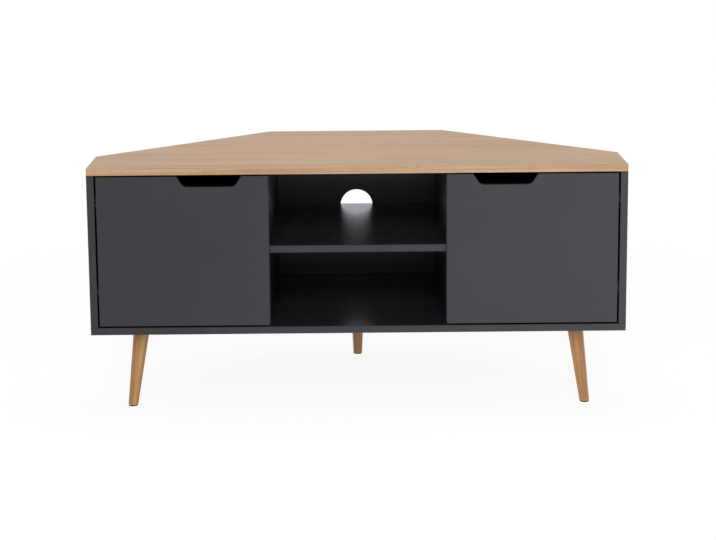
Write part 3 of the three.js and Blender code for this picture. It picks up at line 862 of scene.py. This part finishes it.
def cup_pressing():
    """The right-hand cup at level zero: bowl, flange and screw wings, with a notch for the arm."""
    back = door_high.y
    floor = back - CUP_BORE_DEPTH + FIT
    centre = inner_half - CUP_CENTRE
    rise = back - floor
    top = rise + FLANGE_SHEET
    outside = [
        (0, CUP_RADIUS - CUP_CORNER),
        (CUP_CORNER_MIDDLE, CUP_RADIUS - CUP_CORNER_MIDDLE),
        (CUP_CORNER, CUP_RADIUS),
        (rise, CUP_RADIUS),
        (rise, FLANGE_RADIUS),
        (top, FLANGE_RADIUS),
    ]
    piece = turned("cup", (centre, floor, 0), (0, 1, 0), outside)
    screw_x = centre - WING_SCREW_OFFSET
    reach = WING_SCREW_FROM_MIDDLE + WING_RADIUS
    wing = block("wing", (screw_x - WING_RADIUS, back, -reach), (screw_x + WING_RADIUS, back + FLANGE_SHEET, reach))
    round_edges(wing, lambda a, b: abs(a.y - b.y) > FLANGE_SHEET / 2, WING_RADIUS - SLIVER, segments=12)
    weld(piece, wing)
    inside = [
        (CUP_SHEET, CUP_RADIUS - CUP_HOLLOW_NARROWING),
        (CUP_SHEET + CUP_CORNER_MIDDLE, CUP_RADIUS - CUP_SHEET - CUP_CORNER_MIDDLE),
        (CUP_SHEET + CUP_HOLLOW_CORNER, CUP_RADIUS - CUP_SHEET),
        (top + board, CUP_RADIUS - CUP_SHEET),
    ]
    cut(piece, turned("hollow", (centre, floor, 0), (0, 1, 0), inside))
    notch = block(
        "notch",
        (centre + NOTCH_FROM_CENTRE, back - NOTCH_BITE, -NOTCH_HALF_HEIGHT),
        (inner_half, back + board, NOTCH_HALF_HEIGHT),
    )
    return flatten(cut(piece, notch))


def cup_fittings(side, level_height):
    """Two cheeks riveted in the cup, their pins, and the two screws of the wings."""
    base = door_high.y - CUP_BORE_DEPTH + FIT + CUP_SHEET / 2
    end = NOTCH_HALF_HEIGHT + CHEEK_SHEET
    near, far = (side * (inner_half - along) for along in CHEEK_SPAN)
    screw_x = side * (inner_half - CUP_CENTRE - WING_SCREW_OFFSET)
    parts = []
    for up in (1, -1):
        cheek = between(
            "cheek",
            (near, base, level_height + up * NOTCH_HALF_HEIGHT),
            (far, base + CHEEK_HEIGHT, level_height + up * end),
        )
        round_edges(cheek, lambda a, b: min(a.y, b.y) > base + MM and abs(a.z - b.z) > MM, CHEEK_ROUND, segments=6)
        parts.append(shade(cheek))
        screw_height = level_height + up * WING_SCREW_FROM_MIDDLE
        parts.append(driven_screw((screw_x, door_high.y + FLANGE_SHEET, screw_height), (0, -1, 0)))
    for (along, back), radius, up in ((OUTER_CUP_PIN, OUTER_PIN_RADIUS, 1), (INNER_CUP_PIN, INNER_PIN_RADIUS, -1)):
        x, y = side * (inner_half - along), front + back
        start, stop = level_height + up * PIN_START, level_height + up * end
        parts.append(shade(rod("pin", (x, y, start), (x, y, stop), radius, SMALL_SIDES)))
    return parts


def hinge(name, side, level):
    """The cup on its door, then the links, the arm and the plate as they are pressed in the CAD."""
    place = cup_place(name, side, level)
    piece = ease(copied(cup, f"{name}_{level}_cup", place.z, side < 0), CUP_ARRIS)
    gather(piece, cup_fittings(side, place.z))
    fit(piece, f"{name}_{level}_hinge_cup", nickel, f"{name}_door")
    bodies = {
        "outer_link": f"{name}_outer_links",
        "inner_link": f"{name}_inner_links",
        "arm": "cabinet",
        "plate": "cabinet",
    }
    for part, body in bodies.items():
        node_name = f"{name}_{level}_hinge_{part}"
        fit(pressed(f"{name}_{level}_{part}", node_name), node_name, nickel, body)


cup = cup_pressing()
for name, side in SIDES.items():
    for level in LEVELS:
        hinge(name, side, level)
bpy.data.objects.remove(cup)


# Legs


def turned_leg(name, top, way, heading):
    """A tapered leg with a rounded top rim, sawn level at the foot pad."""
    length = top.z / math.cos(LEG_LEAN) + LEG_FOOT_RADIUS * math.tan(LEG_LEAN)
    taper = (LEG_TOP_RADIUS - LEG_FOOT_RADIUS) / (length - LEG_START)
    rim = [(LEG_START + below * MM, LEG_TOP_RADIUS - inset * MM) for below, inset in LEG_RIM]
    shaft_start = LEG_START + LEG_RIM_DEPTH
    shaft = []
    for step in range(LEG_TAPER_STEPS + 1):
        along = shaft_start + (length - LEG_START - LEG_RIM_DEPTH) * step / LEG_TAPER_STEPS
        shaft.append((along, LEG_TOP_RADIUS - taper * (along - LEG_START)))
    piece = turned(f"{name}_turned_leg", top, way, rim + shaft, FINE_SIDES)
    saw(piece, (0, 0, PAD_THICKNESS), (0, 0, -1))
    round_edges(piece, lambda a, b: max(a.z, b.z) < PAD_THICKNESS + SLIVER, LEG_FOOT_RIM, segments=3)
    wood = oak(
        f"{name}_leg_oak",
        LEG_OAK,
        LEG_OAK_GLOSS,
        contrast=1.5,
        centre=top,
        turn=(0, math.pi / 2 - LEG_LEAN, heading),
        fine=4,
        # The foot's end below this height is painted lighter: unfinished end wood and a painted highlight on its rim
        bare_and_highlight_from=PAD_THICKNESS + LEG_BARE_AND_HIGHLIGHT_END,
    )
    fit(shade(piece), f"{name}_leg", wood)


def foot_glide(name):
    low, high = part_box(f"{name}_foot_pad")
    middle = ((low.x + high.x) / 2, (low.y + high.y) / 2, 0)
    piece = turned(f"{name}_glide", middle, (0, 0, 1), in_metres(GLIDE_OUTLINE))
    fit(piece, f"{name}_foot_pad", glide_plastic)


def leg_plate(name, plate_low, plate_high, top, way):
    """A plate screwed under the base, with the angled boss that takes the leg's hanger bolt."""
    low = (plate_low.x, plate_low.y, top.z - LEG_PLATE_THICKNESS)
    piece = block(f"{name}_plate", low, (plate_high.x, plate_high.y, top.z))
    round_edges(piece, lambda a, b: abs(a.z - b.z) > MM, LEG_PLATE_CORNER, segments=10)
    boss = rod("boss", top - way * LEG_START, top + way * LEG_START, LEG_BOSS_RADIUS, BOSS_SIDES)
    saw(boss, top - Vector((0, 0, LEG_PLATE_THICKNESS / 2)), (0, 0, 1))
    ease(weld(piece, boss), LEG_PLATE_ARRIS)
    screws = []
    for x in (-LEG_SCREW_FROM_MIDDLE, LEG_SCREW_FROM_MIDDLE):
        for y in (-LEG_SCREW_FROM_MIDDLE, LEG_SCREW_FROM_MIDDLE):
            screws.append(driven_screw(top + Vector((x, y, -LEG_PLATE_THICKNESS)), (0, 0, 1)))
    fit(gather(piece, screws), f"{name}_leg_plate", zinc)


def leg(name, heading):
    """One leg and its fittings. The heading is the way that its foot leans, seen from above."""
    plate_low, plate_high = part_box(f"{name}_leg_plate")
    top = Vector(((plate_low.x + plate_high.x) / 2, (plate_low.y + plate_high.y) / 2, base_low.z))
    lean = math.sin(LEG_LEAN)
    way = Vector((lean * math.cos(heading), lean * math.sin(heading), -math.cos(LEG_LEAN)))
    turned_leg(name, top, way, heading)
    foot_glide(name)
    leg_plate(name, plate_low, plate_high, top, way)
    bolt = frame["nodes"][f"{name}_hanger_bolt"]
    bolt.data.materials.clear()
    bolt.data.materials.append(zinc)


for name, heading in LEG_HEADINGS.items():
    leg(name, heading)
bpy.data.objects.remove(screw)


# Room, lamps and camera


def seen_directly(tree):
    """One for what the camera sees itself, in a mirror or through clear plastic, else zero."""
    path = node(tree, "LightPath", {})
    total = path.outputs["Is Camera Ray"]
    for name in ("Is Glossy Ray", "Is Transmission Ray"):
        made = node(tree, "Math", {0: total, 1: path.outputs[name]}, operation="MAXIMUM")
        total = made.outputs[0]
    return total


def studio_floor():
    """A pale floor that keeps the cabinet's shadow near it and runs out to plain white.

    Polished surfaces mirror it as white card that is dimmer towards the left.
    """
    lay_down_all()
    bpy.ops.mesh.primitive_plane_add(size=FLOOR_SIZE, location=(0, 0, 0))
    floor = bpy.context.object
    floor.name = "studio_floor"
    look = bpy.data.materials.new("studio_floor_white")
    look.use_nodes = True
    tree = look.node_tree
    tree.nodes.clear()
    matt = node(tree, "BsdfDiffuse", {"Color": FLOOR_MATT})
    away = node(tree, "VectorMath", {0: piece_place(tree)}, operation="LENGTH").outputs["Value"]
    near, plain_from = FLOOR_FADE
    far = node(
        tree,
        "MapRange",
        {"Value": away, "From Min": near, "From Max": plain_from},
        interpolation_type="SMOOTHSTEP",
    ).outputs["Result"]
    across = node(tree, "SeparateXYZ", {"Vector": piece_place(tree)}).outputs["X"]
    card = spread(tree, across, *CARD_SPAN, *CARD_GLOW)
    plain = spread(tree, far, 0, 1, FLOOR_GLOW, 1)
    mirrored = node(tree, "LightPath", {}).outputs["Is Glossy Ray"]
    colour = blend_colours(tree, mirrored, WHITE, MIRRORED_WHITE)
    glow = node(tree, "Emission", {"Color": colour, "Strength": spread(tree, mirrored, 0, 1, plain, card)})
    share = spread(tree, far, 0, 1, 1 - FLOOR_SHARE, 1)
    lit = spread(tree, seen_directly(tree), 0, 1, FLOOR_LIFT, share)
    mixed = node(tree, "MixShader", {0: lit, 1: matt.outputs[0], 2: glow.outputs[0]})
    node(tree, "OutputMaterial", {"Surface": mixed.outputs[0]})
    floor.data.materials.append(look)


def studio_sky():
    """Plain white where it is looked at, and a low white backdrop in a dim room in what mirrors it."""
    world = bpy.data.worlds.new("studio_sky")
    bpy.context.scene.world = world
    world.use_nodes = True
    tree = world.node_tree
    tree.nodes.clear()
    way = node(tree, "SeparateXYZ", {"Vector": node(tree, "TexCoord", {}).outputs["Generated"]}).outputs
    low_down = spread(tree, way["Z"], *BACKDROP_TOP, 1, 0)
    behind = spread(tree, way["Y"], *BACKDROP_SIDE, 0, low_down)
    room = spread(tree, behind, 0, 1, SKY, BACKDROP_GLOW)
    mirrored = node(tree, "LightPath", {}).outputs["Is Glossy Ray"]
    plain = spread(tree, seen_directly(tree), 0, 1, SKY, 1)
    strength = spread(tree, mirrored, 0, 1, plain, room)
    colour = blend_colours(tree, mirrored, WHITE, MIRRORED_WHITE)
    back = node(tree, "Background", {"Color": colour, "Strength": strength})
    node(tree, "OutputWorld", {"Surface": back.outputs[0]})


def softbox(name, place, size, share):
    """A square soft lamp that alone would light a facing surface at the given share of the plain level."""
    lamp = bpy.data.lights.new(name, "AREA")
    lamp.shape = "SQUARE"
    lamp.size = size
    away = Vector(LAMPS_AIM_AT) - Vector(place)
    lamp.energy = share * math.pi**2 * away.length_squared
    holder = bpy.data.objects.new(name, lamp)
    bpy.context.scene.collection.objects.link(holder)
    holder.visible_glossy = False
    holder.location = place
    holder.rotation_euler = away.to_track_quat("-Z", "Y").to_euler()


def photo_camera():
    eye = bpy.data.cameras.new("photo_camera")
    eye.sensor_width = SENSOR_WIDTH
    eye.lens = FOCAL_PIXELS / PHOTO_WIDTH * eye.sensor_width
    eye.shift_y = CAMERA_SHIFT
    camera = bpy.data.objects.new("photo_camera", eye)
    bpy.context.scene.collection.objects.link(camera)
    camera.location = CAMERA_PLACE
    camera.rotation_euler = (math.pi / 2 - CAMERA_PITCH, CAMERA_ROLL, CAMERA_YAW)
    bpy.context.scene.camera = camera


studio_floor()
studio_sky()
softbox("front_softbox", place=(0.0, -4.2, 2.3), size=2.0, share=0.57)
softbox("top_softbox", place=(0.1, 0.2, 3.2), size=1.8, share=0.35)
photo_camera()
bpy.context.scene.view_settings.view_transform = "Standard"
